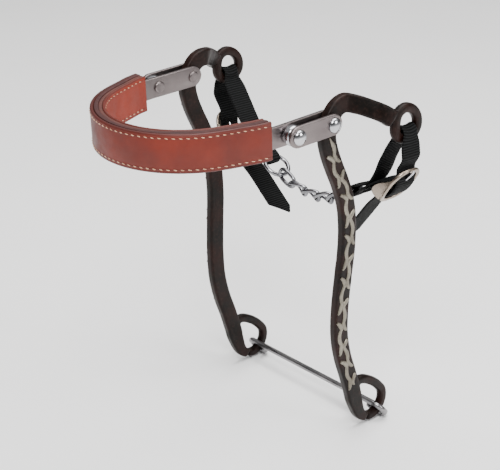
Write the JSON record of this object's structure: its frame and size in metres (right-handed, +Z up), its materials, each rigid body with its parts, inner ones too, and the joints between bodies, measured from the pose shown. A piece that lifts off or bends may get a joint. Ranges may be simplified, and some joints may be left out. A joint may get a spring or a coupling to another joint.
{
  "type": "bitless hackamore",
  "caption": "Bitless horse hackamore with a leather-covered noseband, pivoting shanks with scroll inlay, a lower crossbar and a buckled webbing curb with a twisted chain",
  "frame": {"origin": "midway between the two shank pivots, on their common axis", "axes": "X to the right shank, -Y to the front of the nose, +Y to the curb, Z up"},
  "size_m": [0.1825, 0.1764, 0.2388],
  "materials": {
    "satin_steel": "satin, faint lengthwise brushing",
    "antiqued_steel": "satin dark brown antique finish",
    "silver_inlay": "aged silver with dark hollows",
    "chrome": "polished",
    "russet_leather": "smooth oiled leather, edge stitched",
    "dark_leather": "burnished edge and lining leather",
    "felt": "matte felt",
    "black_webbing": "ribbed woven nylon"
  },
  "bodies": {
    "noseband": {"noseband_strip": "satin_steel", "leather_cover": "russet_leather", "leather_lining": "dark_leather", "nose_padding": "felt", "top_welt": "dark_leather", "bottom_welt": "dark_leather", "outer_plate_right": "satin_steel", "outer_plate_left": "satin_steel", "spacer_bush_right": "satin_steel", "spacer_bush_left": "satin_steel", "front_rivet_right": "chrome", "front_rivet_left": "chrome", "pivot_rivet_right": "chrome", "pivot_rivet_left": "chrome"},
    "shank_body_right": {"shank_right": "antiqued_steel", "scroll_inlay_right": "silver_inlay"},
    "strap_body_right": {"curb_strap_right": "black_webbing", "buckle_frame_right": "chrome"},
    "tongue_right": {"buckle_tongue_right": "chrome"},
    "ring_right": {"curb_ring_right": "chrome"},
    "shank_body_left": {"shank_left": "antiqued_steel", "scroll_inlay_left": "silver_inlay"},
    "strap_body_left": {"curb_strap_left": "black_webbing", "buckle_frame_left": "chrome"},
    "tongue_left": {"buckle_tongue_left": "chrome"},
    "ring_left": {"curb_ring_left": "chrome"},
    "crossbar_body": {"crossbar": "satin_steel"},
    "link_1": {"chain_link_1": "chrome"},
    "link_2": {"chain_link_2": "chrome"},
    "link_3": {"chain_link_3": "chrome"},
    "link_4": {"chain_link_4": "chrome"},
    "link_5": {"chain_link_5": "chrome"}
  },
  "joints": [
    {"name": "right_shank_pivot", "type": "hinge", "parent": "noseband", "child": "shank_body_right", "pos_m": [0.066, 0, 0], "axis": [1, 0, 0], "range_deg": [-25, 40]},
    {"name": "left_shank_pivot", "type": "hinge", "parent": "noseband", "child": "shank_body_left", "pos_m": [-0.066, 0, 0], "axis": [1, 0, 0], "range_deg": [-25, 40]},
    {"name": "crossbar_slide_round", "type": "hinge", "parent": "shank_body_right", "child": "crossbar_body", "pos_m": [0, 0.0503, -0.208], "axis": [1, 0, 0], "range_deg": [-40, 45]},
    {"name": "right_strap_swing", "type": "hinge", "parent": "shank_body_right", "child": "strap_body_right", "pos_m": [0.0835, 0.049, -0.0105], "axis": [1, 0, 0], "range_deg": [-12, 13]},
    {"name": "left_strap_swing", "type": "hinge", "parent": "shank_body_left", "child": "strap_body_left", "pos_m": [-0.0835, 0.049, -0.0105], "axis": [1, 0, 0], "range_deg": [-12, 13]},
    {"name": "right_tongue_hinge", "type": "hinge", "parent": "strap_body_right", "child": "tongue_right", "pos_m": [0.07862, 0.049, -0.04604], "axis": [0, 1, 0], "range_deg": [0, 8]},
    {"name": "left_tongue_hinge", "type": "hinge", "parent": "strap_body_left", "child": "tongue_left", "pos_m": [-0.07599, 0.049, -0.05124], "axis": [0, -1, 0], "range_deg": [0, 8]},
    {"name": "right_ring_sway", "type": "hinge", "parent": "strap_body_right", "child": "ring_right", "pos_m": [0.0428, 0.049, -0.0618], "axis": [0, 1, 0], "range_deg": [-8, 8]},
    {"name": "link_1_sway", "type": "hinge", "parent": "ring_right", "child": "link_1", "pos_m": [0.0318, 0.049, -0.06962], "axis": [0, 1, 0], "range_deg": [-9.47, 9.47]},
    {"name": "link_2_sway", "type": "hinge", "parent": "link_1", "child": "link_2", "pos_m": [0.02045, 0.049, -0.07416], "axis": [0, 1, 0], "range_deg": [-3.8, 3.8]},
    {"name": "link_3_sway", "type": "hinge", "parent": "link_2", "child": "link_3", "pos_m": [0.00835, 0.049, -0.07651], "axis": [0, 1, 0], "range_deg": [-0.39, 0.39]},
    {"name": "link_4_sway", "type": "hinge", "parent": "link_3", "child": "link_4", "pos_m": [-0.00398, 0.049, -0.07654], "axis": [0, 1, 0], "range_deg": [-2.98, 2.98]},
    {"name": "link_5_sway", "type": "hinge", "parent": "link_4", "child": "link_5", "pos_m": [-0.01609, 0.049, -0.07427], "axis": [0, 1, 0], "range_deg": [-3.92, 3.92]},
    {"name": "left_ring_sway", "type": "hinge", "parent": "strap_body_left", "child": "ring_left", "pos_m": [-0.03763, 0.049, -0.06212], "axis": [0, 1, 0], "range_deg": [-5.07, 5.07]}
  ],
  "couplings": [
    {"joint": "left_shank_pivot", "follows": "right_shank_pivot", "ratio": 1},
    {"joint": "left_strap_swing", "follows": "right_strap_swing", "ratio": 1},
    {"joint": "link_1_sway", "follows": "right_ring_sway", "ratio": -1.1834},
    {"joint": "link_2_sway", "follows": "right_ring_sway", "ratio": -0.475},
    {"joint": "link_3_sway", "follows": "right_ring_sway", "ratio": 0.048},
    {"joint": "link_4_sway", "follows": "right_ring_sway", "ratio": 0.3714},
    {"joint": "link_5_sway", "follows": "right_ring_sway", "ratio": 0.4898},
    {"joint": "left_ring_sway", "follows": "right_ring_sway", "ratio": 0.6333}
  ]
}
